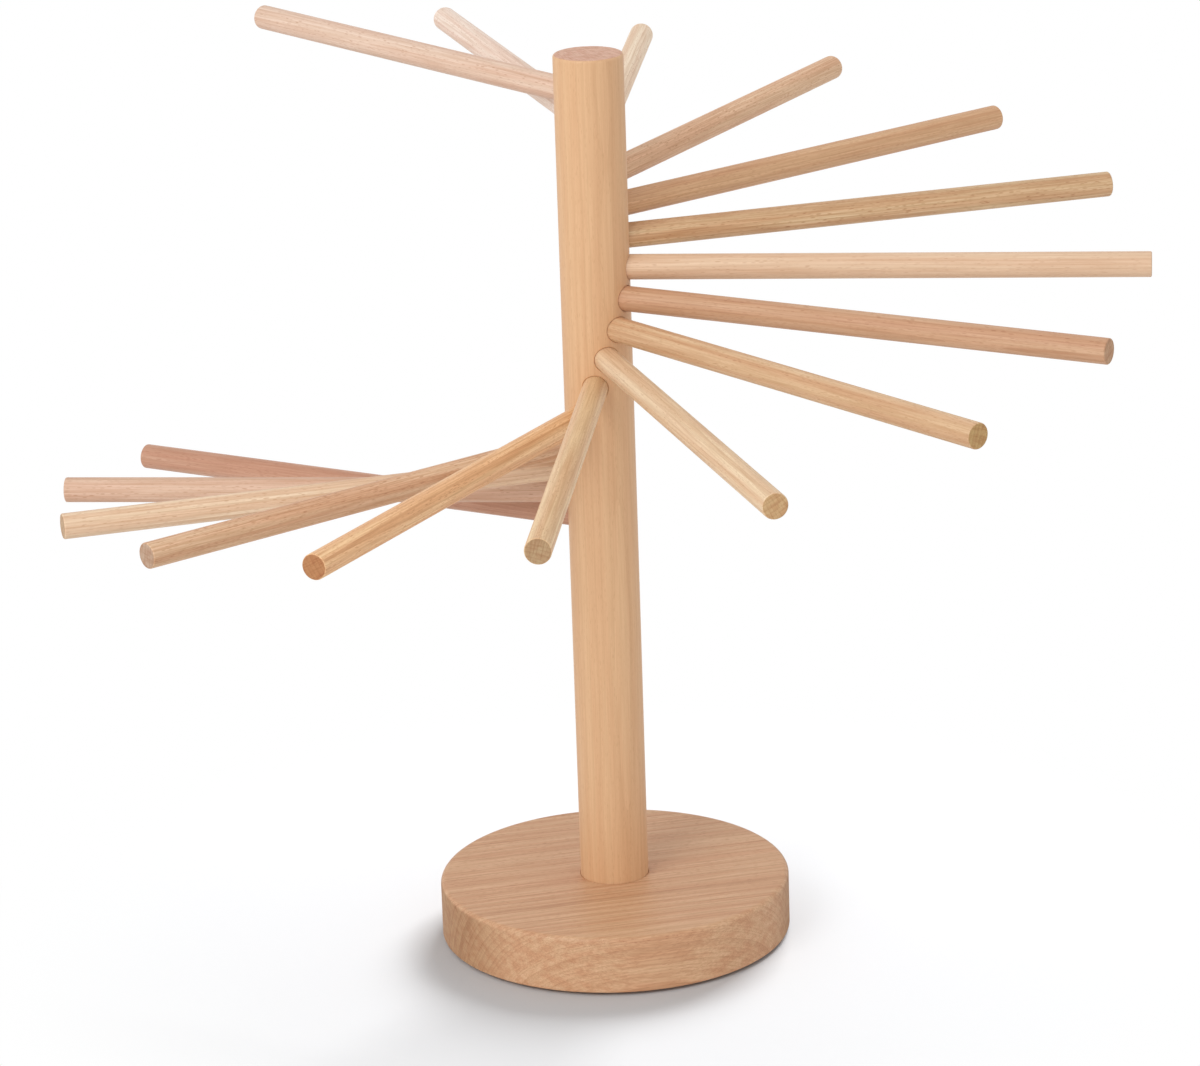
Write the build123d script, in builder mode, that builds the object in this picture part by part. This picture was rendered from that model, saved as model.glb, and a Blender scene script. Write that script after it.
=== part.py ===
"""Spiral drying rack: a round base, an upright post and sixteen rods that push into it."""

from build123d import *
from math import cos, radians, sin
import os

# Driving dimensions, in millimetres and degrees. Z is up from the surface that the rack stands on.

# Base: a turned disc with eased edges
base_diameter = 170
base_thickness = 28
base_top_round = 2.5
base_foot_round = 1.2

# Anti-slip pads under the base
pad_diameter = 18
pad_thickness = 1.5
pad_edge_round = 0.4
pad_inset = 17
pad_count = 4

# Post: a dowel that stands in a shallow seat in the base
post_diameter = 33
post_top_round = 1.3
post_foot_chamfer = 0.8
seat_depth = 10
seat_clearance = 0.05
seat_mouth_chamfer = 0.5

# Rods: each one is a screw step lower and further round than the last
rod_diameter = 12
rod_length = 263
rod_end_round = 0.7
rod_count = 16
rods_per_turn = 16
first_rod_angle = 135
rod_gap = 1.7
lowest_rod_height = 182
post_above_top_rod = 20

# Holes in the post that the rods push into
hole_depth = 20
hole_clearance = 0.05
hole_end_gap = 0.3
hole_mouth_chamfer = 0.35

# Bolt that pulls the post down into the base, from below
bolt_diameter = 8
bolt_length = 35
bolt_head_diameter = 13
bolt_head_height = 5
bolt_head_chamfer = 0.6
bolt_tip_chamfer = 0.8
bolt_clearance = 0.3
key_across_flats = 5
key_depth = 2.8
washer_diameter = 18
washer_thickness = 1.6
washer_edge_chamfer = 0.2
head_pocket_diameter = 21
head_pocket_depth = 8
head_pocket_chamfer = 0.5

# Threaded insert in the foot of the post
insert_diameter = 12
insert_length = 18
insert_flange_diameter = 16
insert_flange_thickness = 1.5
insert_clearance = 0.05
thread_clearance = 0.1
pilot_end_gap = 3

# Levels and radii that follow from the sizes above
base_radius = base_diameter / 2
base_bottom = pad_thickness
base_top = base_bottom + base_thickness
post_radius = post_diameter / 2
post_foot = base_top - seat_depth
rod_radius = rod_diameter / 2
rod_rise = rod_diameter + rod_gap
rod_turn = 360 / rods_per_turn
lowest_rod_level = base_top + lowest_rod_height
top_rod_level = lowest_rod_level + (rod_count - 1) * rod_rise
post_top = top_rod_level + post_above_top_rod
head_pocket_top = base_bottom + head_pocket_depth
washer_bottom = head_pocket_top - washer_thickness
bolt_top = washer_bottom + bolt_length
rod_start = post_radius - hole_depth + hole_end_gap


def rod_direction(index):
    """The way that a rod points, seen from above: each next rod is one step clockwise."""
    angle = radians(first_rod_angle - index * rod_turn)
    return Vector(cos(angle), sin(angle), 0)


def rod_plane(index, distance):
    """A plane square to a rod, at a distance from the post's axis, facing outwards."""
    level = Vector(0, 0, top_rod_level - index * rod_rise)
    outwards = rod_direction(index)
    return Plane(origin=level + outwards * distance, x_dir=(0, 0, 1), z_dir=outwards)


def save(piece, name):
    """Labels a finished piece and writes it under its own name."""
    piece.part.label = name
    export_step(piece.part, f"parts/{name}.step")


os.makedirs("parts", exist_ok=True)

# Base, with the seat for the post above and the pocket for the bolt's head below
with BuildPart() as base:
    with BuildSketch(Plane.XY.offset(base_bottom)):
        Circle(base_radius)
    extrude(amount=base_thickness)
    fillet(base.edges().sort_by(Axis.Z)[-1], radius=base_top_round)
    fillet(base.edges().sort_by(Axis.Z)[0], radius=base_foot_round)
    with BuildSketch(Plane.XY.offset(base_top)):
        Circle(post_radius + seat_clearance)
    extrude(amount=-seat_depth, mode=Mode.SUBTRACT)
    seat_rim = base.edges(Select.LAST).filter_by(GeomType.CIRCLE).sort_by(Axis.Z)[-1]
    chamfer(seat_rim, length=seat_mouth_chamfer)
    with BuildSketch(Plane.XY.offset(base_bottom)):
        Circle(head_pocket_diameter / 2)
    extrude(amount=head_pocket_depth, mode=Mode.SUBTRACT)
    pocket_rim = base.edges(Select.LAST).filter_by(GeomType.CIRCLE).sort_by(Axis.Z)[0]
    chamfer(pocket_rim, length=head_pocket_chamfer)
    with BuildSketch(Plane.XY.offset(head_pocket_top)):
        Circle(bolt_diameter / 2 + bolt_clearance)
    extrude(amount=post_foot - head_pocket_top, mode=Mode.SUBTRACT)
save(base, "base")

# Post, with one hole for each rod and a stepped hole in its foot for the threaded insert
with BuildPart() as post:
    with BuildSketch(Plane.XY.offset(post_foot)):
        Circle(post_radius)
    extrude(amount=post_top - post_foot)
    fillet(post.edges().sort_by(Axis.Z)[-1], radius=post_top_round)
    chamfer(post.edges().sort_by(Axis.Z)[0], length=post_foot_chamfer)
    with BuildSketch(*[rod_plane(index, post_radius) for index in range(rod_count)]):
        Circle(rod_radius + hole_clearance)
    extrude(amount=-hole_depth, mode=Mode.SUBTRACT)
    hole_mouths = post.edges(Select.LAST).filter_by(GeomType.BSPLINE)
    chamfer(hole_mouths, length=hole_mouth_chamfer)
    with BuildSketch(Plane.XY.offset(post_foot)):
        Circle(insert_flange_diameter / 2 + insert_clearance)
    extrude(amount=insert_flange_thickness, mode=Mode.SUBTRACT)
    with BuildSketch(Plane.XY.offset(post_foot)):
        Circle(insert_diameter / 2 + insert_clearance)
    extrude(amount=insert_length, mode=Mode.SUBTRACT)
    with BuildSketch(Plane.XY.offset(post_foot)):
        Circle(bolt_diameter / 2 + bolt_clearance)
    extrude(amount=bolt_top + pilot_end_gap - post_foot, mode=Mode.SUBTRACT)
save(post, "post")

# Rods, numbered from the top of the post downwards
for index in range(rod_count):
    with BuildPart() as rod:
        with BuildSketch(rod_plane(index, rod_start)):
            Circle(rod_radius)
        extrude(amount=rod_length)
        fillet(rod.edges().filter_by(GeomType.CIRCLE), radius=rod_end_round)
    save(rod, f"rod_{index + 1:02d}")

# Anti-slip pads, spread evenly under the rim
for index in range(pad_count):
    angle = radians((index + 1 / 2) * 360 / pad_count)
    pad_distance = base_radius - pad_inset
    with BuildPart() as pad:
        with BuildSketch(Plane(origin=(pad_distance * cos(angle), pad_distance * sin(angle), 0))):
            Circle(pad_diameter / 2)
        extrude(amount=pad_thickness)
        fillet(pad.edges().group_by(Axis.Z)[0], radius=pad_edge_round)
    save(pad, f"foot_pad_{index + 1}")

# Washer, against the roof of the pocket in the base
with BuildPart() as washer:
    with BuildSketch(Plane.XY.offset(washer_bottom)):
        Circle(washer_diameter / 2)
        Circle(bolt_diameter / 2 + bolt_clearance, mode=Mode.SUBTRACT)
    extrude(amount=washer_thickness)
    chamfer(washer.edges().group_by(Axis.Z)[0].sort_by(SortBy.RADIUS)[-1], length=washer_edge_chamfer)
save(washer, "bolt_washer")

# Bolt, head down, with its key socket facing the floor
with BuildPart() as bolt:
    with BuildSketch(Plane.XY.offset(washer_bottom)):
        Circle(bolt_head_diameter / 2)
    extrude(amount=-bolt_head_height)
    chamfer(bolt.edges().sort_by(Axis.Z)[0], length=bolt_head_chamfer)
    with BuildSketch(Plane.XY.offset(washer_bottom)):
        Circle(bolt_diameter / 2)
    extrude(amount=bolt_length)
    chamfer(bolt.edges().sort_by(Axis.Z)[-1], length=bolt_tip_chamfer)
    with BuildSketch(Plane.XY.offset(washer_bottom - bolt_head_height)):
        RegularPolygon(radius=key_across_flats / 2, side_count=6, major_radius=False)
    extrude(amount=key_depth, mode=Mode.SUBTRACT)
save(bolt, "base_bolt")

# Threaded insert, its flange flush with the foot of the post
with BuildPart() as insert:
    with BuildSketch(Plane.XY.offset(post_foot)):
        Circle(insert_diameter / 2)
    extrude(amount=insert_length)
    with BuildSketch(Plane.XY.offset(post_foot)):
        Circle(insert_flange_diameter / 2)
    extrude(amount=insert_flange_thickness)
    with BuildSketch(Plane.XY.offset(post_foot)):
        Circle(bolt_diameter / 2 + thread_clearance)
    extrude(amount=insert_length, mode=Mode.SUBTRACT)
save(insert, "threaded_insert")
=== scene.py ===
"""Spiral drying rack: a turned beech base, a beech post, and sixteen beech rods that push into it.

Shapes are worked out in millimetres, in the CAD model's frame, and go into the meshes in metres.
"""

import math

import bmesh
import bpy
import numpy as np
from mathutils import Matrix, Vector


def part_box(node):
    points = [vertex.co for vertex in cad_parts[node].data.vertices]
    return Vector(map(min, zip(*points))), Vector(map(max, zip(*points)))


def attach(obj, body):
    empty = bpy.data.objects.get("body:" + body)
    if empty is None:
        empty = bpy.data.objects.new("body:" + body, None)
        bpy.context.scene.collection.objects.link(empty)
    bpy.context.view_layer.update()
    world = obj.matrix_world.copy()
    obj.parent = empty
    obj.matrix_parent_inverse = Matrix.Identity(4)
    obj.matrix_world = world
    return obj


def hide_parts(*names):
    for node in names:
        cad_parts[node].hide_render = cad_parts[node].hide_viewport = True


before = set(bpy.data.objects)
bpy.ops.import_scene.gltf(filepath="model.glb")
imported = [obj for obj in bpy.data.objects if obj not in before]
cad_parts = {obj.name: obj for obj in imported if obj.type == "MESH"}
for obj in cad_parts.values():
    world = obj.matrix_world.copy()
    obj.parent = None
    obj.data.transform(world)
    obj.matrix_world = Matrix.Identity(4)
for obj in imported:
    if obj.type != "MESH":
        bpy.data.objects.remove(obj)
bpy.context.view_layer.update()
scene = bpy.context.scene

# The camera stands where the photographer stood: in front of the rack and above it, on a long
# lens, with the horizon leaning a little to the right. Blender's camera looks straight down
# until it is tipped up to the horizon.
lens_mm = 144.35
sensor_width_mm = 36
camera_place = Vector((0.2356, -2.1738, 0.9133))
camera_swing = math.radians(6.23)
camera_pitch = math.radians(-17.985)
camera_lean = math.radians(1.894)
camera_tip = math.radians(90)
camera_data = bpy.data.cameras.new("camera")
camera_data.lens = lens_mm
camera_data.sensor_width = sensor_width_mm
camera = bpy.data.objects.new("camera", camera_data)
scene.collection.objects.link(camera)
camera.matrix_world = (
    Matrix.Translation(camera_place)
    @ Matrix.Rotation(camera_swing, 4, "Z")
    @ Matrix.Rotation(camera_pitch, 4, "X")
    @ Matrix.Rotation(camera_lean, 4, "Y")
    @ Matrix.Rotation(camera_tip, 4, "X")
)
scene.camera = camera
scene.view_settings.view_transform = "Standard"


# The base is one disc of solid beech, faced and rounded on a lathe, then sanded. A shallow seat
# for the post is turned in its top, and a pocket for the head of the bolt in its underside.
mm = 0.001


def box_mm(node):
    """The lowest and the highest corner of a CAD node, in millimetres."""
    return [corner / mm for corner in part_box(node)]


base_low, base_high = box_mm("base")
base_radius = base_high.x
base_top_round = 2.5
base_foot_round = 1.2
bolt_hole_radius = 4.3
pocket_radius = 10.5
pocket_depth = 8
pocket_top = base_low.z + pocket_depth
seat_radius = 16.55
seat_depth = 10
seat_floor = base_high.z - seat_depth
hole_edge_round = 0.5
base_columns = 256


def colour(code):
    """Turns an sRGB hex code into the linear colour that Blender works in, by the standard curve."""
    srgb = np.array([int(code[n : n + 2], 16) for n in (0, 2, 4)]) / 255
    linear = np.where(srgb <= 0.04045, srgb / 12.92, ((srgb + 0.055) / 1.055) ** 2.4)
    return (*linear, 1.0)


def put(tree, kind, sockets=None, **settings):
    """Adds one node to a tree, makes its settings, and sets or links its inputs."""
    node = tree.nodes.new(kind)
    for name, value in settings.items():
        setattr(node, name, value)
    for socket, value in (sockets or {}).items():
        if isinstance(value, bpy.types.NodeSocket):
            tree.links.new(value, node.inputs[socket])
        else:
            node.inputs[socket].default_value = value
    return node


def beech_timber():
    """Beech as a solid, in millimetres: its pith runs along Z, with fibres along it and rays outwards.

    A cut in any direction then shows what it would show in the wood: soft bands and short dark
    ray ends along the grain, and arcs of yearly rings crossed by fine rays on end grain.
    """
    tree = bpy.data.node_groups.new("beech timber", "ShaderNodeTree")
    for name, kind in (
        ("Timber", "Vector"),
        ("Pith distance", "Float"),
        ("Side tone", "Color"),
        ("End tone", "Color"),
        ("Figure", "Float"),
        ("End", "Float"),
    ):
        tree.interface.new_socket(name, in_out="INPUT", socket_type=f"NodeSocket{kind}")
    for name, kind in (("Color", "Color"), ("Roughness", "Float"), ("Normal", "Vector")):
        tree.interface.new_socket(name, in_out="OUTPUT", socket_type=f"NodeSocket{kind}")
    given = put(tree, "NodeGroupInput").outputs
    timber, end, figure = given["Timber"], given["End"], given["Figure"]

    # Growth is uneven, so the rings wander by a millimetre or two round and along the trunk.
    wander_size = (33.333, 33.333, 200)
    wander_width = 3.2
    slow = put(tree, "ShaderNodeVectorMath", {0: timber, 1: wander_size}, operation="DIVIDE")
    sway = put(tree, "ShaderNodeTexNoise", {"Vector": slow.outputs[0], "Scale": 1, "Detail": 2})
    wander = put(
        tree,
        "ShaderNodeVectorMath",
        {0: sway.outputs["Color"], 1: (wander_width, wander_width, 0), 2: timber},
        operation="MULTIPLY_ADD",
    )
    grown = put(tree, "ShaderNodeSeparateXYZ", {0: wander.outputs[0]}).outputs
    across = put(tree, "ShaderNodeCombineXYZ", {"X": grown["X"], "Y": grown["Y"]})
    radius = put(tree, "ShaderNodeVectorMath", {0: across.outputs[0]}, operation="LENGTH").outputs["Value"]

    # Each ring darkens towards its late wood, and stops short where the next spring begins. Good
    # and poor years come in runs, which make the rings wider and narrower.
    ring_width = 2.6
    run_of_years = 9.0909
    ring_unevenness = 5.0
    late_power = 3.0
    late_depth = 0.55
    year = put(
        tree,
        "ShaderNodeTexNoise",
        {"W": radius, "Scale": 1 / run_of_years, "Detail": 1},
        noise_dimensions="1D",
    )
    early = put(tree, "ShaderNodeMath", {0: year.outputs[0], 1: ring_unevenness}, operation="MULTIPLY")
    rings = put(
        tree, "ShaderNodeMath", {0: radius, 1: 1 / ring_width, 2: early.outputs[0]}, operation="MULTIPLY_ADD"
    )
    ring = put(tree, "ShaderNodeMath", {0: rings.outputs[0]}, operation="FRACT")
    late = put(tree, "ShaderNodeMath", {0: ring.outputs[0], 1: late_power}, operation="POWER")
    late_wood = put(tree, "ShaderNodeMath", {0: late.outputs[0], 1: late_depth}, operation="MULTIPLY")

    # In the trunk a point has a distance from the pith, a way round it, and a height.
    bearing = put(tree, "ShaderNodeMath", {0: grown["Y"], 1: grown["X"]}, operation="ARCTAN2")
    way_round = put(
        tree, "ShaderNodeMath", {0: bearing.outputs[0], 1: given["Pith distance"]}, operation="MULTIPLY"
    )
    trunk = put(tree, "ShaderNodeCombineXYZ", {"X": radius, "Y": way_round.outputs[0], "Z": grown["Z"]})

    # Fibres make streaks about half a millimetre wide and some centimetres long, and the timber
    # has wider, softer bands too. On end grain the rays show from the side, as fine lines that
    # cross the rings. Each is noise of its own size, which counts from its least to its most.
    noise, grain = {}, {}
    for name, source, size, detail, least, most in (
        ("fibres", timber, (0.625, 0.625, 25), 3, 0.36, 0.68),
        ("bands", timber, (3.3333, 3.3333, 125), 1, 0.38, 0.62),
        ("lines", trunk.outputs[0], (8.3333, 0.52632, 20), 2, 0.48, 0.66),
    ):
        sized = put(tree, "ShaderNodeVectorMath", {0: source, 1: size}, operation="DIVIDE")
        lumps = put(tree, "ShaderNodeTexNoise", {"Vector": sized.outputs[0], "Scale": 1, "Detail": detail})
        noise[name] = lumps.outputs[0]
        counts = put(tree, "ShaderNodeMapRange", {"Value": noise[name], "From Min": least, "From Max": most})
        grain[name] = counts.outputs[0]

    # Rays are ribbons of cells that run outwards and end as short dark dashes. They are drawn
    # twice as thick as real ones, which are too fine to show.
    ray_size = (0.9, 0.38, 4.2)
    ray_scatter = 0.9
    ray_raggedness = 0.6
    ray_edge = 0.66
    ray_core = 0.44
    cells = put(tree, "ShaderNodeVectorMath", {0: trunk.outputs[0], 1: ray_size}, operation="DIVIDE")
    ray = put(
        tree, "ShaderNodeTexVoronoi", {"Vector": cells.outputs[0], "Scale": 1, "Randomness": ray_scatter}
    )
    ragged = put(
        tree,
        "ShaderNodeMath",
        {0: noise["fibres"], 1: ray_raggedness, 2: ray.outputs["Distance"]},
        operation="MULTIPLY_ADD",
    )
    dash = put(
        tree,
        "ShaderNodeMapRange",
        {"Value": ragged.outputs[0], "From Min": ray_edge, "From Max": ray_core},
        interpolation_type="SMOOTHSTEP",
    )
    darkness = put(tree, "ShaderNodeSeparateXYZ", {0: ray.outputs["Color"]})
    rays = put(tree, "ShaderNodeMath", {0: dash.outputs[0], 1: darkness.outputs["X"]}, operation="MULTIPLY")

    # End grain drinks the oil, so it has a tone of its own. Each feature then stains the tone below
    # it, by one strength along the grain and another across it.
    tone = put(
        tree,
        "ShaderNodeMix",
        {"Factor": end, "A": given["Side tone"], "B": given["End tone"]},
        data_type="RGBA",
    )
    wood = tone.outputs["Result"]
    for feature, stain, along, across in (
        (late_wood.outputs[0], "d8c4b0", figure, 0.9),
        (grain["fibres"], "e4d6c8", figure, 0.4),
        (grain["bands"], "f2e2da", figure, 0.8),
        (rays.outputs[0], "d0b298", figure, 0.0),
        (grain["lines"], "dcc6b0", 0.0, 0.55),
    ):
        strength = put(tree, "ShaderNodeMapRange", {"Value": end, "To Min": along, "To Max": across})
        amount = put(tree, "ShaderNodeMath", {0: feature, 1: strength.outputs[0]}, operation="MULTIPLY")
        stained = put(
            tree,
            "ShaderNodeMix",
            {"Factor": amount.outputs[0], "A": wood, "B": colour(stain)},
            data_type="RGBA",
            blend_type="MULTIPLY",
        )
        wood = stained.outputs["Result"]

    # End grain is a little duller than the sides too. Fibres stand up a little, and rays lie lower.
    side_roughness = 0.52
    end_roughness = 0.60
    fibre_height = 0.06
    dull = put(tree, "ShaderNodeMapRange", {"Value": end, "To Min": side_roughness, "To Max": end_roughness})
    relief = put(tree, "ShaderNodeMath", {0: noise["fibres"], 1: rays.outputs[0]}, operation="SUBTRACT")
    bump = put(
        tree, "ShaderNodeBump", {"Height": relief.outputs[0], "Strength": 0.35, "Distance": fibre_height * mm}
    )
    put(
        tree,
        "NodeGroupOutput",
        {"Color": wood, "Roughness": dull.outputs[0], "Normal": bump.outputs[0]},
    )
    return tree


timber_group = beech_timber()


def sanded_beech(name, tone, end_tone, figure, fibres, outwards, centre, pith_distance, height):
    """Sanded beech with a thin coat of oil: matt, with a soft sheen where it curves to the light.

    tone and end_tone are the colours of its sides and its end grain, and figure is how strongly
    its sides are marked. fibres is the way the grain runs and outwards the way from the pith,
    centre is the middle of the piece, and height is how far up the trunk it was cut, which gives
    each piece its own wood.
    """
    # A surface is end grain by how square it is to the fibres: from none of it to all of it.
    end_none = 0.72
    end_all = 0.98
    material = bpy.data.materials.new(name)
    material.use_nodes = True
    tree = material.node_tree
    fibres = Vector(fibres).normalized()
    outwards = Vector(outwards)
    outwards = (outwards - fibres * outwards.dot(fibres)).normalized()
    turn = Matrix((outwards, fibres.cross(outwards), fibres))
    place = put(tree, "ShaderNodeTexCoord").outputs
    timber = put(
        tree,
        "ShaderNodeMapping",
        {
            "Vector": place["Object"],
            "Location": Vector((pith_distance, 0, height)) - turn @ Vector(centre),
            "Rotation": turn.to_euler("XYZ"),
            "Scale": (1 / mm, 1 / mm, 1 / mm),
        },
    )
    facing = put(tree, "ShaderNodeVectorMath", {0: place["Normal"], 1: fibres}, operation="DOT_PRODUCT")
    square = put(tree, "ShaderNodeMath", {0: facing.outputs["Value"]}, operation="ABSOLUTE")
    end = put(
        tree,
        "ShaderNodeMapRange",
        {"Value": square.outputs[0], "From Min": end_none, "From Max": end_all},
        interpolation_type="SMOOTHSTEP",
    )
    wood = put(
        tree,
        "ShaderNodeGroup",
        {
            "Timber": timber.outputs[0],
            "Pith distance": pith_distance,
            "Side tone": colour(tone),
            "End tone": colour(end_tone),
            "Figure": figure,
            "End": end.outputs[0],
        },
        node_tree=timber_group,
    )
    shader = tree.nodes["Principled BSDF"]
    for socket, output in (("Base Color", "Color"), ("Roughness", "Roughness"), ("Normal", "Normal")):
        tree.links.new(wood.outputs[output], shader.inputs[socket])
    return material


def eased(corners, steps=6):
    """An outline through corners of (radius, height, rounding), as rows of (radius, height).

    A corner with a rounding becomes an arc that meets both of its sides. One more row stands
    close beside each arc, so that the flats stay flat when the mesh is shaded smooth.
    """
    beside = 0.25
    corners = np.asarray(corners, float)
    rows = [corners[:1, :2]]
    for before, (*corner, rounding), after in zip(corners, corners[1:], corners[2:]):
        corner = np.array(corner)
        if rounding == 0:
            rows.append(corner[None])
            continue
        back = (before[:2] - corner) / np.linalg.norm(before[:2] - corner)
        ahead = (after[:2] - corner) / np.linalg.norm(after[:2] - corner)
        inside = math.acos(back @ ahead)
        reach = rounding / math.tan(inside / 2)
        middle = (back + ahead) / np.linalg.norm(back + ahead)
        centre = corner + middle * rounding / math.sin(inside / 2)
        sweep = math.pi - inside
        step = np.linspace(-sweep / 2, sweep / 2, steps + 1)[:, None]
        sideways = (ahead - back) / np.linalg.norm(ahead - back)
        arc = centre + rounding * (sideways * np.sin(step) - middle * np.cos(step))
        rows += [[corner + back * (reach + beside)], arc, [corner + ahead * (reach + beside)]]
    rows.append(corners[-1:, :2])
    return np.concatenate(rows)


def distance_along(points):
    """How far each row of a grid of points lies from the first, along the grid, on average."""
    steps = np.linalg.norm(np.diff(points, axis=0), axis=-1).mean(axis=-1)
    return np.concatenate(([0], np.cumsum(steps)))


def around(radius, turn, height):
    """Points that stand at a radius from Z and a turn round it, each at its own height."""
    return np.stack(np.broadcast_arrays(radius * np.cos(turn), radius * np.sin(turn), height), axis=-1)


def turned(radius, height, columns, strips=1):
    """A lathe-turned surface: each row of (radius, height) is carried round Z in a full circle.

    A row's radius may be one number, or one for each column, as for a hexagon. The rows are
    shared among strips, each a list of one patch: a grid of points and its place (u, v) on a sheet.
    """
    turn = np.linspace(0, 2 * np.pi, columns + 1)
    radius = np.stack([np.broadcast_to(value, columns + 1) for value in radius])
    points = around(radius, turn, np.asarray(height, float)[:, None])
    run = distance_along(points)
    cuts = np.searchsorted(run, np.linspace(0, run[-1], strips + 1))
    sheets = []
    for low, high in zip(cuts, cuts[1:]):
        rows = slice(low, high + 1)
        place = np.stack(np.broadcast_arrays(turn, run[rows, None]), axis=-1)
        sheets.append([(points[rows], place)])
    return sheets


def make_piece(name, sheets, material, body, node):
    """Welds sheets of patches into one closed, smooth mesh that stands for a CAD node.

    The sheets lie side by side on the map, each as wide as its share of the surface, so that
    the grain is about equally sharp all over when the material is baked.
    """
    margin = 0.01
    weld_distance = 0.001 * mm
    sharp_edge = math.radians(33)
    areas = []
    for sheet in sheets:
        area = 0
        for points, place in sheet:
            cross = np.cross(points[1:, 1:] - points[:-1, :-1], points[1:, :-1] - points[:-1, 1:])
            area += np.linalg.norm(cross, axis=-1).sum()
        areas.append(area)
    edges = np.concatenate(([0], np.cumsum(areas))) / sum(areas)
    corners, quads, places = [], [], []
    first = 0
    for sheet, left, right in zip(sheets, edges, edges[1:]):
        every = np.concatenate([place.reshape(-1, 2) for points, place in sheet])
        low, high = every.min(axis=0), every.max(axis=0)
        for points, place in sheet:
            rows, columns = points.shape[:2]
            index = first + np.arange(rows * columns).reshape(rows, columns)
            quad = np.stack((index[:-1, :-1], index[:-1, 1:], index[1:, 1:], index[1:, :-1]), axis=-1)
            inset = margin + (1 - 2 * margin) * (place.reshape(-1, 2) - low) / (high - low)
            corners.append(points.reshape(-1, 3))
            quads.append(quad.reshape(-1, 4))
            places.append(inset * (right - left, 1) + (left, 0))
            first += rows * columns
    corners, quads, places = np.concatenate(corners), np.concatenate(quads), np.concatenate(places)
    mesh = bpy.data.meshes.new(name)
    mesh.from_pydata(corners * mm, [], quads.tolist())
    mesh.uv_layers.new(name="OFBake").uv.foreach_set("vector", places[quads.ravel()].ravel())
    welded = bmesh.new()
    welded.from_mesh(mesh)
    bmesh.ops.remove_doubles(welded, verts=welded.verts, dist=weld_distance)
    bmesh.ops.recalc_face_normals(welded, faces=welded.faces)
    welded.to_mesh(mesh)
    welded.free()
    mesh.shade_smooth()
    mesh.set_sharp_from_angle(angle=sharp_edge)
    mesh.materials.append(material)
    piece = bpy.data.objects.new(name, mesh)
    scene.collection.objects.link(piece)
    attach(piece, body)
    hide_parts(node)


base_outline = eased(
    (
        (bolt_hole_radius, pocket_top, 0),
        (pocket_radius, pocket_top, 0),
        (pocket_radius, base_low.z, hole_edge_round),
        (base_radius, base_low.z, base_foot_round),
        (base_radius, base_high.z, base_top_round),
        (seat_radius, base_high.z, hole_edge_round),
        (seat_radius, seat_floor, 0),
        (bolt_hole_radius, seat_floor, 0),
        (bolt_hole_radius, pocket_top, 0),
    )
)
base_wood = sanded_beech(
    "sanded beech, base",
    tone="dab28d",
    end_tone="b89069",
    figure=0.8,
    fibres=(0.94, 0.34, 0),
    outwards=(-0.34, 0.94, 0.3),
    centre=(0, 0, base_low.z),
    pith_distance=115,
    height=400,
)
make_piece("turned_base", turned(*base_outline.T, base_columns), base_wood, "stand", "base")


# Four moulded rubber feet are glued under the base's rim. Rings moulded into their soles grip
# the worktop, and they lift the wood clear of a wet surface.
foot_count = 4
sole_ring_count = 4
sole_ring_spacing = 2.1
sole_ring_depth = 0.2
sole_ring_steps = 8
foot_edge_round = 0.4
foot_columns = 48


def placed(sheets, origin, axes=np.eye(3)):
    """Moves sheets: their X, Y and Z turn to three given axes, and their zero goes to origin."""
    return [[(points @ np.asarray(axes) + origin, place) for points, place in sheet] for sheet in sheets]


def moulded_rubber():
    """Black moulded rubber: dull and slightly uneven, as a mould with a fine spark texture leaves it."""
    grit = 0.4
    grit_depth = 0.08
    material = bpy.data.materials.new("moulded black rubber")
    material.use_nodes = True
    tree = material.node_tree
    place = put(tree, "ShaderNodeTexCoord").outputs
    texture = put(
        tree, "ShaderNodeTexNoise", {"Vector": place["Object"], "Scale": 1 / (grit * mm), "Detail": 2}
    )
    worn = put(
        tree,
        "ShaderNodeMix",
        {"Factor": texture.outputs[0], "A": colour("242322"), "B": colour("383634")},
        data_type="RGBA",
    )
    bump = put(
        tree, "ShaderNodeBump", {"Height": texture.outputs[0], "Strength": 0.4, "Distance": grit_depth * mm}
    )
    shader = tree.nodes["Principled BSDF"]
    tree.links.new(worn.outputs["Result"], shader.inputs["Base Color"])
    tree.links.new(bump.outputs[0], shader.inputs["Normal"])
    shader.inputs["Roughness"].default_value = 0.78
    return material


# The sole's height rises and falls once for each ring, as the square of a sine of the distance
# from its middle, so the rings touch the worktop and the grooves between them don't.
sole_radius = sole_ring_count * sole_ring_spacing
ring = np.linspace(0, sole_radius, sole_ring_count * sole_ring_steps + 1)
sole = np.column_stack((ring, sole_ring_depth * np.sin(np.pi * ring / sole_ring_spacing) ** 2))
foot_rubber = moulded_rubber()
for number in range(1, foot_count + 1):
    foot_low, foot_high = box_mm(f"foot_pad_{number}")
    foot_radius = (foot_high.x - foot_low.x) / 2
    foot_height = foot_high.z - foot_low.z
    rim = eased(((sole_radius, 0, 0), (foot_radius, 0, foot_edge_round), (foot_radius, foot_height, 0)))
    foot_outline = np.concatenate((sole, rim, [(0, foot_height)]))
    foot_place = ((foot_low.x + foot_high.x) / 2, (foot_low.y + foot_high.y) / 2, 0)
    foot = placed(turned(*foot_outline.T, foot_columns), foot_place)
    make_piece(f"rubber_foot_{number}", foot, foot_rubber, "stand", f"foot_pad_{number}")


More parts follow.
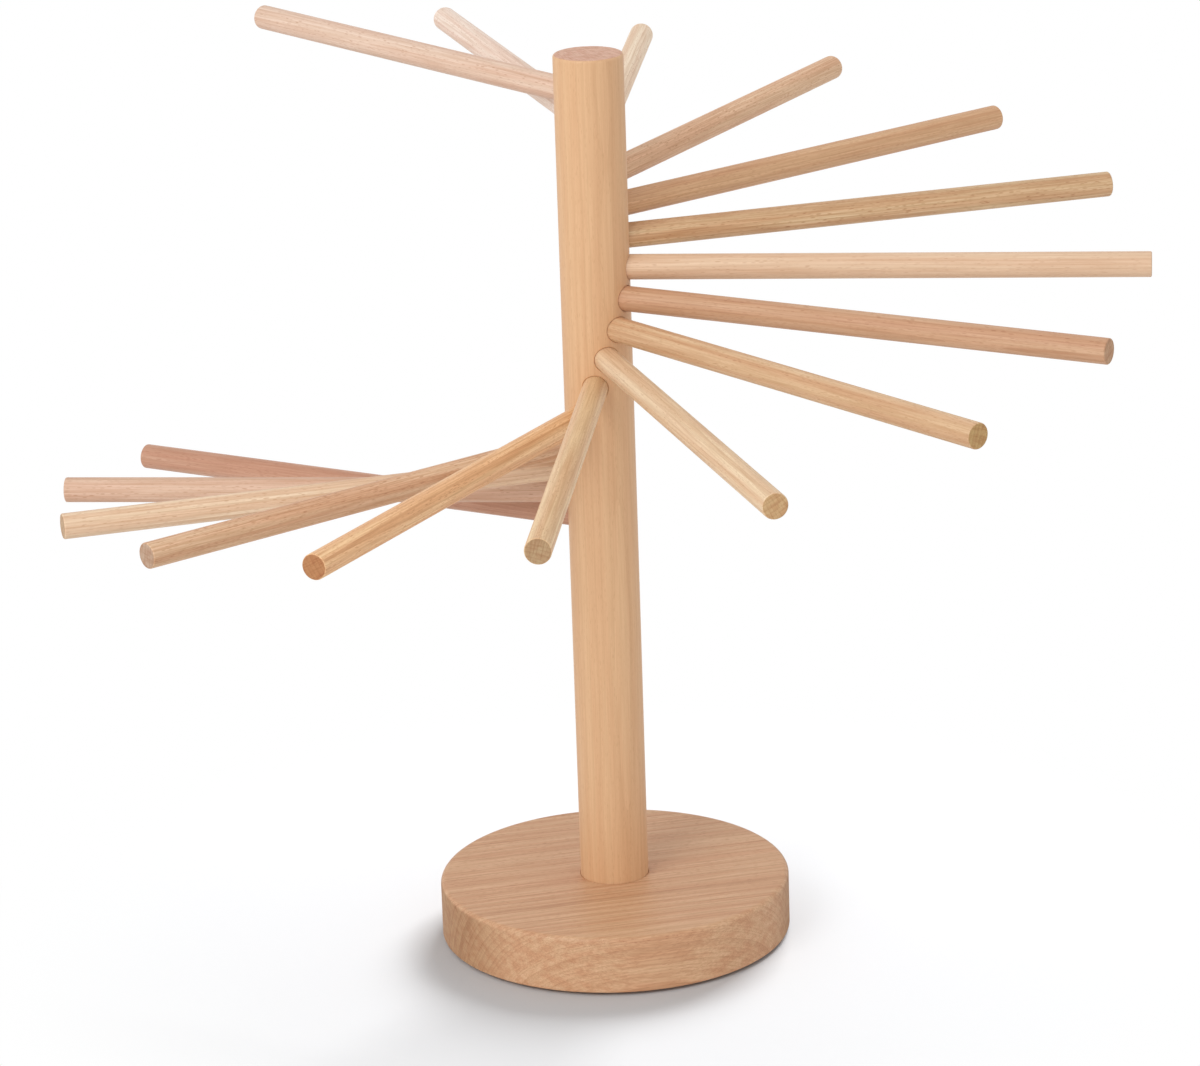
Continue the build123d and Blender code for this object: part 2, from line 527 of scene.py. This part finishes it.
# A low-head M8 screw comes up through a washer and the base, and pulls the post into its seat.
# Both are steel with a thin coat of bright zinc. The head is knurled and takes a 5 mm key.
bolt_low, bolt_high = box_mm("base_bolt")
washer_low, washer_high = box_mm("bolt_washer")
washer_edge_round = 0.4
washer_burr_round = 0.12
bolt_radius = 4
bolt_root_radius = 3.25
bolt_thread_length = 26
bolt_thread_runout = 1
bolt_head_radius = bolt_high.x
bolt_head_top = washer_low.z
bolt_head_chamfer = 0.6
shoulder_width = 0.4
shoulder_height = 0.3
thread_pitch = 1.25
thread_fade = 1.2
key_half_width = 2.5
key_depth = 2.8
key_tip_depth = 0.5
key_mouth_chamfer = 0.2
knurl_depth = 0.12
knurl_end = 0.5
bolt_columns = 96
washer_columns = 96


def bright_metal(name, light, dark, roughness, mottle):
    """Plated or cast metal: it mirrors the room softly, with faint cloudy patches a few mottles wide."""
    haze_spread = 0.08
    material = bpy.data.materials.new(name)
    material.use_nodes = True
    tree = material.node_tree
    place = put(tree, "ShaderNodeTexCoord").outputs
    cloud = put(
        tree, "ShaderNodeTexNoise", {"Vector": place["Object"], "Scale": 1 / (mottle * mm), "Detail": 4}
    )
    finish = put(
        tree,
        "ShaderNodeMix",
        {"Factor": cloud.outputs[0], "A": colour(light), "B": colour(dark)},
        data_type="RGBA",
    )
    haze = put(
        tree,
        "ShaderNodeMapRange",
        {"Value": cloud.outputs[0], "To Min": roughness - haze_spread, "To Max": roughness + haze_spread},
    )
    shader = tree.nodes["Principled BSDF"]
    tree.links.new(finish.outputs["Result"], shader.inputs["Base Color"])
    tree.links.new(haze.outputs[0], shader.inputs["Roughness"])
    shader.inputs["Metallic"].default_value = 1.0
    return material


def helix(outline, pitch, low, high, end_radius, fade, columns):
    """A screw thread: an outline is carried round Z, and up by one pitch for each turn.

    The outline's corners are (share of the pitch, radius). At its lowest and highest levels the
    thread fades to a plain ring of end_radius.
    """
    share, radius = np.transpose(outline)
    whole = np.arange(math.floor(low / pitch) - 1, math.ceil(high / pitch) + 1)
    turn = np.linspace(0, 2 * np.pi, columns + 1)
    height = pitch * ((whole[:, None] + share).reshape(-1, 1) + turn / (2 * np.pi))
    strength = np.clip(np.minimum(height - low, high - height) / fade, 0, 1)
    reach = end_radius + (np.tile(radius, len(whole))[:, None] - end_radius) * strength
    points = around(reach, turn, np.clip(height, low, high))
    place = np.stack(np.broadcast_arrays(turn, distance_along(points)[:, None]), axis=-1)
    return [[(points, place)]]


# Seen from below, the key's hexagon has for its radius its half width over the cosine of the
# angle from the nearest flat's middle. The knurl goes in and out at every other column.
bolt_turn = np.linspace(0, 2 * np.pi, bolt_columns + 1)
key_hexagon = key_half_width / np.cos((bolt_turn + np.pi / 6) % (np.pi / 3) - np.pi / 6)
key_circle = key_half_width / math.cos(math.pi / 6)
knurl = bolt_head_radius - knurl_depth * (np.arange(bolt_columns + 1) % 2)
bolt_key_end = bolt_low.z + key_depth
bolt_thread_low = bolt_high.z - bolt_thread_length
bolt_outline = (
    (0, bolt_key_end + key_tip_depth),
    (key_hexagon, bolt_key_end),
    (key_hexagon, bolt_low.z + key_mouth_chamfer),
    (key_circle, bolt_low.z),
    (bolt_head_radius - bolt_head_chamfer, bolt_low.z),
    (bolt_head_radius - knurl_depth, bolt_low.z + bolt_head_chamfer - knurl_depth),
    (knurl, bolt_low.z + bolt_head_chamfer + knurl_depth),
    (knurl, bolt_head_top - knurl_end),
    (bolt_head_radius - knurl_depth, bolt_head_top - shoulder_height),
    (bolt_head_radius - shoulder_width, bolt_head_top),
    (bolt_radius, bolt_head_top),
    (bolt_radius, bolt_thread_low - bolt_thread_runout),
    (bolt_root_radius, bolt_thread_low),
)

# The thread's crest is an eighth of the pitch wide and its root a quarter, with slopes between.
bolt_thread = (
    (0, bolt_radius),
    (1 / 8, bolt_radius),
    (7 / 16, bolt_root_radius),
    (11 / 16, bolt_root_radius),
)
bright_zinc = bright_metal("bright zinc plate on steel", "d6d9dc", "b4b9be", roughness=0.3, mottle=1.5)
make_piece(
    "steel_bolt",
    turned(*zip(*bolt_outline), bolt_columns)
    + helix(
        bolt_thread,
        thread_pitch,
        bolt_thread_low,
        bolt_high.z,
        bolt_root_radius,
        thread_fade,
        bolt_columns,
    )
    + turned((bolt_root_radius, 0), (bolt_high.z, bolt_high.z), bolt_columns),
    bright_zinc,
    "stand",
    "base_bolt",
)

washer_outline = eased(
    (
        (bolt_hole_radius, (washer_low.z + washer_high.z) / 2, 0),
        (bolt_hole_radius, washer_low.z, washer_burr_round),
        (washer_high.x, washer_low.z, washer_edge_round),
        (washer_high.x, washer_high.z, washer_burr_round),
        (bolt_hole_radius, washer_high.z, washer_edge_round),
        (bolt_hole_radius, (washer_low.z + washer_high.z) / 2, 0),
    )
)
make_piece(
    "steel_washer", turned(*washer_outline.T, washer_columns), bright_zinc, "stand", "bolt_washer"
)


# A die-cast zinc insert is screwed into the foot of the post, its flange flush with the wood.
# The coarse thread outside bites the beech, and the M8 thread inside takes the screw.
insert_low, insert_high = box_mm("threaded_insert")
insert_flange = 1.5
insert_flange_radius = insert_high.x
insert_flange_round = 0.3
insert_crest_radius = 6
insert_root_radius = 4.95
insert_pitch = 3
insert_fade = 2
thread_play = 0.12
insert_columns = 96

# The outer thread has thin crests, a tenth of the pitch wide, and wide roots between them.
insert_bore_radius = bolt_radius + thread_play
insert_thread = (
    (0, insert_crest_radius),
    (0.1, insert_crest_radius),
    (0.3, insert_root_radius),
    (0.8, insert_root_radius),
)
flange_outline = eased(
    (
        (insert_root_radius, insert_low.z + insert_flange, 0),
        (insert_flange_radius, insert_low.z + insert_flange, insert_flange_round),
        (insert_flange_radius, insert_low.z, insert_flange_round),
        (insert_bore_radius, insert_low.z, 0),
    )
)
cast_zinc = bright_metal("die-cast zinc alloy", "c2c1bc", "989791", roughness=0.45, mottle=0.8)
make_piece(
    "zinc_insert",
    helix(
        [(share, radius + thread_play) for share, radius in bolt_thread],
        thread_pitch,
        insert_low.z,
        insert_high.z,
        insert_bore_radius,
        thread_fade,
        insert_columns,
    )
    + turned((insert_bore_radius, insert_root_radius), (insert_high.z, insert_high.z), insert_columns)
    + helix(
        insert_thread,
        insert_pitch,
        insert_low.z + insert_flange,
        insert_high.z,
        insert_root_radius,
        insert_fade,
        insert_columns,
    )
    + turned(*flange_outline.T, insert_columns),
    cast_zinc,
    "stand",
    "threaded_insert",
)


# The post is one length of straight-grained beech dowel, sanded fine. Sixteen blind holes are
# drilled square to it, each a step lower and further round, and each with a light countersink.
post_low, post_high = box_mm("post")
post_radius = post_high.x
post_top_round = 1.3
post_foot_round = 0.8
insert_fit = 0.05
pilot_gap = 3
rod_count = 16
rods_per_turn = 16
first_rod_bearing = math.radians(135)
hole_radius = 6.05
hole_mouth_radius = 6.4
hole_countersink = 0.35
hole_depth = 20
post_columns = 128
hole_columns = 24
hole_rows = 8

rod_boxes = [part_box(f"rod_{number:02d}") for number in range(1, rod_count + 1)]
rod_levels = [(low.z + high.z) / 2 / mm for low, high in rod_boxes]
rod_step = rod_levels[0] - rod_levels[1]
rod_swing = 2 * np.pi / rods_per_turn
rod_bearings = first_rod_bearing - rod_swing * np.arange(rod_count)
hole_end = post_radius - hole_depth
column_swing = 2 * np.pi / post_columns
half_swing = hole_columns / 2 * column_swing
half_step = rod_step / 2


def axes_at(bearing):
    """The way outwards from the post's axis at a bearing, the level way across it, and up."""
    outwards = (math.cos(bearing), math.sin(bearing), 0)
    return np.array((outwards, (-outwards[1], outwards[0], 0), (0, 0, 1)))


def drilled_band(bearing, level):
    """One step of the post round a rod's hole: patches of points and their places on a sheet.

    The patch round the hole is a frame of rows between a rectangle and the hole's mouth, which
    is a circle seen along the hole and wrapped on the post. It goes on down the hole's side and
    over its end. The other patch is the rest of the band. On the sheet the bands line up one
    above the next, because each is slid back by the swing from one rod to the next.
    """
    corner = np.cumsum((0, hole_columns, hole_rows, hole_columns, hole_rows))
    step = np.arange(corner[-1] + 1)
    frame_swing = np.interp(step, corner, (-half_swing, half_swing, half_swing, -half_swing, -half_swing))
    frame_lift = np.interp(step, corner, (-half_step, -half_step, half_step, half_step, -half_step))
    clock = np.arctan2(frame_lift, post_radius * frame_swing)
    aside, lift = np.cos(clock), np.sin(clock)
    mouth_swing = np.arcsin(hole_mouth_radius * aside / post_radius)
    mouth_lift = hole_mouth_radius * lift

    # The post's skin, by shares of the way from the rectangle to the mouth.
    towards = np.array((0, 0.35, 0.7, 1))[:, None]
    swing = frame_swing + (mouth_swing - frame_swing) * towards
    height = frame_lift + (mouth_lift - frame_lift) * towards
    skin = around(post_radius, swing, height)

    # The hole, by shares of its depth and of its radius, and of the mouth's size on the sheet.
    rim = post_radius * np.cos(mouth_swing) - hole_countersink
    down = np.array((0, 0.4, 0.8, 1, 1, 1))[:, None]
    bore = hole_radius * np.array((1, 1, 1, 1, 0.5, 0))[:, None]
    side = np.stack((rim + (hole_end - rim) * down, bore * aside, bore * lift), axis=-1)
    shrink = np.array((0.9, 0.75, 0.6, 0.45, 0.2, 0))[:, None]
    hole = np.concatenate((skin, side))
    hole_swing = np.concatenate((swing, mouth_swing * shrink))
    hole_height = np.concatenate((height, mouth_lift * shrink))

    rest_swing = half_swing + np.arange(post_columns - hole_columns + 1) * column_swing
    rest_height = np.linspace(-half_step, half_step, hole_rows + 1)[:, None]
    rest_swing, rest_height = np.broadcast_arrays(rest_swing, rest_height)
    rest = around(post_radius, rest_swing, rest_height)

    patches = []
    for points, swing, height in ((hole, hole_swing, hole_height), (rest, rest_swing, rest_height)):
        slid = swing - rod_swing * height / rod_step
        place = np.stack((slid, level + height), axis=-1)
        patches.append((points @ axes_at(bearing) + (0, 0, level), place))
    return patches


# Below the bands the foot has a stepped hole for the insert and the end of the bolt. The crown
# closes the post above them, and shares their sheet.
bands_low = rod_levels[-1] - half_step
bands_high = rod_levels[0] + half_step
pilot_top = bolt_high.z + pilot_gap
insert_hole_radius = insert_crest_radius + insert_fit
flange_hole_radius = insert_flange_radius + insert_fit
post_foot_outline = eased(
    (
        (0, pilot_top, 0),
        (bolt_hole_radius, pilot_top, 0),
        (bolt_hole_radius, insert_high.z, 0),
        (insert_hole_radius, insert_high.z, 0),
        (insert_hole_radius, insert_low.z + insert_flange, 0),
        (flange_hole_radius, insert_low.z + insert_flange, 0),
        (flange_hole_radius, post_low.z, 0),
        (post_radius, post_low.z, post_foot_round),
        (post_radius, bands_low, 0),
    )
)
crown_outline = eased(
    (
        (post_radius, bands_high, 0),
        (post_radius, post_high.z, post_top_round),
        (0, post_high.z, 0),
    )
)
crown_start = rod_bearings[0] - half_swing
[[(crown, crown_place)]] = placed(turned(*crown_outline.T, post_columns), (0, 0, 0), axes_at(crown_start))
upper_post = [(crown, crown_place + (-half_swing - rod_swing / 2, bands_high))]
for bearing, level in zip(rod_bearings, rod_levels):
    upper_post += drilled_band(bearing, level)
# The post's end tone is nearly its side tone but bluer: partly the wood's own, partly a painted sheen of the
# white room on its top.
post_wood = sanded_beech(
    "sanded beech, post",
    tone="e3b98e",
    end_tone="e2b9a3",
    figure=0.3,
    fibres=(0, 0, 1),
    outwards=(0.5, -0.87, 0),
    centre=(0, 0, 0),
    pith_distance=70,
    height=900,
)
make_piece(
    "beech_post",
    turned(*post_foot_outline.T, post_columns) + [upper_post],
    post_wood,
    "stand",
    "post",
)


# Each rod is a length of beech dowel, sanded, with its ends trimmed square and their edges just
# eased. It pushes into its hole by hand, so that the rack can be taken apart and stored flat.
rod_radius = 6
rod_length = 263
rod_end_gap = 0.3
rod_end_round = 0.7
rod_start = hole_end + rod_end_gap
rod_row_spacing = 11
rod_columns = 48
rod_strips = 3

# Each was cut further up the trunk than the last and rolled another way, so no two look alike.
rod_pith_distance = 55
rod_trunk_start = 1500
rod_trunk_step = 400
rod_roll_step = 2.4

# From the top rod down: the tone of the sides, the tone of the end grain, and the figure. The
# tones are partly each rod's own wood and partly painted light and shade, set for how much light
# each rod's sides catch: several that turn away from the front softbox are drawn lighter, some
# nearly white.
rod_woods_and_painted_light = (
    ("ecd1bd", "c8aa8d", 0.7),
    ("fbe9db", "d5bea4", 0.7),
    ("ffebd0", "d8bf9c", 0.7),
    ("f4d2ae", "cfab82", 0.9),
    ("e0b78e", "bd9569", 0.7),
    ("e5c8a0", "c2a377", 1.0),
    ("ebccad", "c7a681", 0.5),
    ("d6ad8b", "caa683", 0.7),
    ("e5c39c", "caa871", 0.8),
    ("efd5b2", "d4b283", 0.7),
    ("f3d5aa", "bda17b", 0.8),
    ("fed6a5", "bd8657", 0.9),
    ("ebc9a7", "c4a890", 1.0),
    ("f2d8ba", "cdb08b", 0.7),
    ("e3c2aa", "c09e7f", 0.7),
    ("d2a68d", "b1866a", 0.7),
)

# A rod's outline gets more rows along its side, so that no face there is long and thin.
rod_side = eased(
    (
        (0, 0, 0),
        (rod_radius, 0, rod_end_round),
        (rod_radius, rod_length, rod_end_round),
        (0, rod_length, 0),
    )
)
rod_run = np.concatenate(([0], np.cumsum(np.linalg.norm(np.diff(rod_side, axis=0), axis=1))))
rod_rows = np.union1d(rod_run, np.arange(0, rod_run[-1], rod_row_spacing))
rod_outline = np.column_stack([np.interp(rod_rows, rod_run, part) for part in rod_side.T])
for number, (wood, bearing, level) in enumerate(zip(rod_woods_and_painted_light, rod_bearings, rod_levels), 1):
    tone, end_tone, figure = wood
    outwards, across, up = axes_at(bearing)
    roll = rod_roll_step * number
    rod_wood = sanded_beech(
        f"sanded beech, rod {number:02d}",
        tone=tone,
        end_tone=end_tone,
        figure=figure,
        fibres=outwards,
        outwards=across * math.cos(roll) + up * math.sin(roll),
        centre=outwards * (rod_start + rod_length / 2) + up * level,
        pith_distance=rod_pith_distance,
        height=rod_trunk_start + rod_trunk_step * number,
    )
    rod = placed(
        turned(*rod_outline.T, rod_columns, rod_strips),
        outwards * rod_start + up * level,
        axes=(across, up, outwards),
    )
    name = f"rod_{number:02d}"
    make_piece(f"beech_{name}", rod, rod_wood, name, name)


# The floor is a sweep of matt white paper. Near the rack the camera sees it as it is lit, with the
# rack's soft shadow on it, and further out it fades to plain white. What the camera sees of it is
# lit by a softbox more than the rack is, and is drawn darker to make up for that.
sweep_half = 4
shadow_near = 0.10
shadow_far = 0.32
sweep_corners = ((-1, -1), (1, -1), (1, 1), (-1, 1))


def seen_by_camera(tree):
    """1 for what the camera sees, also in a mirror or through glass, and 0 for all other light."""
    light_path = put(tree, "ShaderNodeLightPath").outputs
    seen = light_path["Is Camera Ray"]
    for ray in ("Is Glossy Ray", "Is Transmission Ray"):
        seen = put(tree, "ShaderNodeMath", {0: seen, 1: light_path[ray]}, operation="MAXIMUM").outputs[0]
    return seen


floor_mesh = bpy.data.meshes.new("floor")
floor_mesh.from_pydata([(x * sweep_half, y * sweep_half, 0) for x, y in sweep_corners], [], [(0, 1, 2, 3)])
floor = bpy.data.objects.new("floor", floor_mesh)
scene.collection.objects.link(floor)
sweep = bpy.data.materials.new("matt white paper")
sweep.use_nodes = True
tree = sweep.node_tree
paper = put(
    tree,
    "ShaderNodeMix",
    {
        "Factor": put(tree, "ShaderNodeLightPath").outputs["Is Camera Ray"],
        "A": colour("f1f1f1"),
        "B": colour("c0c1c3"),
    },
    data_type="RGBA",
)
shader = tree.nodes["Principled BSDF"]
tree.links.new(paper.outputs["Result"], shader.inputs["Base Color"])
shader.inputs["Roughness"].default_value = 1.0
shader.inputs["Specular IOR Level"].default_value = 0.0
place = put(tree, "ShaderNodeTexCoord").outputs
away = put(tree, "ShaderNodeVectorMath", {0: place["Object"]}, operation="LENGTH")
fade = put(
    tree,
    "ShaderNodeMapRange",
    {"Value": away.outputs["Value"], "From Min": shadow_near, "From Max": shadow_far},
    interpolation_type="SMOOTHSTEP",
)
bright = put(tree, "ShaderNodeMath", {0: seen_by_camera(tree), 1: fade.outputs[0]}, operation="MULTIPLY")
white = put(tree, "ShaderNodeEmission", {"Color": colour("ffffff"), "Strength": 1.0})
blend = put(tree, "ShaderNodeMixShader", {0: bright.outputs[0], 1: shader.outputs[0], 2: white.outputs[0]})
tree.links.new(blend.outputs[0], tree.nodes["Material Output"].inputs["Surface"])
floor_mesh.materials.append(sweep)

# The white room lights the rack evenly from all round, and shows as plain white behind it.
room_light = 0.76
world = bpy.data.worlds.new("white room")
scene.world = world
world.use_nodes = True
tree = world.node_tree
room = tree.nodes["Background"]
room.inputs["Color"].default_value = colour("ffffff")
room.inputs["Strength"].default_value = room_light
backdrop = put(tree, "ShaderNodeBackground", {"Color": colour("ffffff"), "Strength": 1.0})
view = put(tree, "ShaderNodeMixShader", {0: seen_by_camera(tree), 1: room.outputs[0], 2: backdrop.outputs[0]})
tree.links.new(view.outputs[0], tree.nodes["World Output"].inputs["Surface"])

# One large softbox stands high on the left in front of the rack. Another, high behind it, lights
# only the floor, and throws the soft shadow in front of the base. It adds no bounced light.
softbox_width = 1.3
softbox_aim = Vector((0, 0, 0.25))
all_bounces = 1024
floor_only = bpy.data.collections.new("floor only")
floor_only.objects.link(floor)
for name, lamp_place, lamp_watts, lit, bounces in (
    ("front softbox", Vector((-1.1, -1.9, 1.8)), 25, None, all_bounces),
    ("floor softbox", Vector((0.6, 1.9, 1.5)), 110, floor_only, 0),
):
    lamp_data = bpy.data.lights.new(name, "AREA")
    lamp_data.energy = lamp_watts
    lamp_data.size = softbox_width
    lamp_data.cycles.max_bounces = bounces
    lamp = bpy.data.objects.new(name, lamp_data)
    lamp_turn = (softbox_aim - lamp_place).to_track_quat("-Z", "Y").to_matrix().to_4x4()
    lamp.matrix_world = Matrix.Translation(lamp_place) @ lamp_turn
    lamp.light_linking.receiver_collection = lit
    scene.collection.objects.link(lamp)
